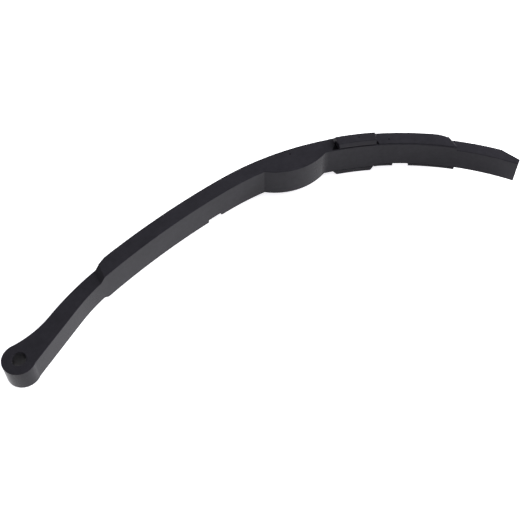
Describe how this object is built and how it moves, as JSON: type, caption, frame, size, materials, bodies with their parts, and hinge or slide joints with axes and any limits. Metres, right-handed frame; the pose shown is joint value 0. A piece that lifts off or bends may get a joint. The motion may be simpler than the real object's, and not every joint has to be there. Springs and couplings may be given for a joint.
{
  "type": "timing chain guide",
  "caption": "Curved black plastic guide arm with a pivot eye, a rounded tensioner pad on its hollow side and a clipped-on wear shoe that a timing chain slides along.",
  "frame": {"origin": "on the axis of the pivot bore, at the middle of the eye's thickness", "axes": "+Z along the pivot bore, +X from the pivot towards the tip, +Y towards the chain"},
  "size_m": [0.3314, 0.0779, 0.027],
  "materials": {
    "arm_plastic": "satin moulded nylon",
    "shoe_plastic": "satin moulded nylon"
  },
  "bodies": {
    "root": {"guide_arm": "arm_plastic", "wear_shoe": "shoe_plastic"}
  },
  "joints": []
}
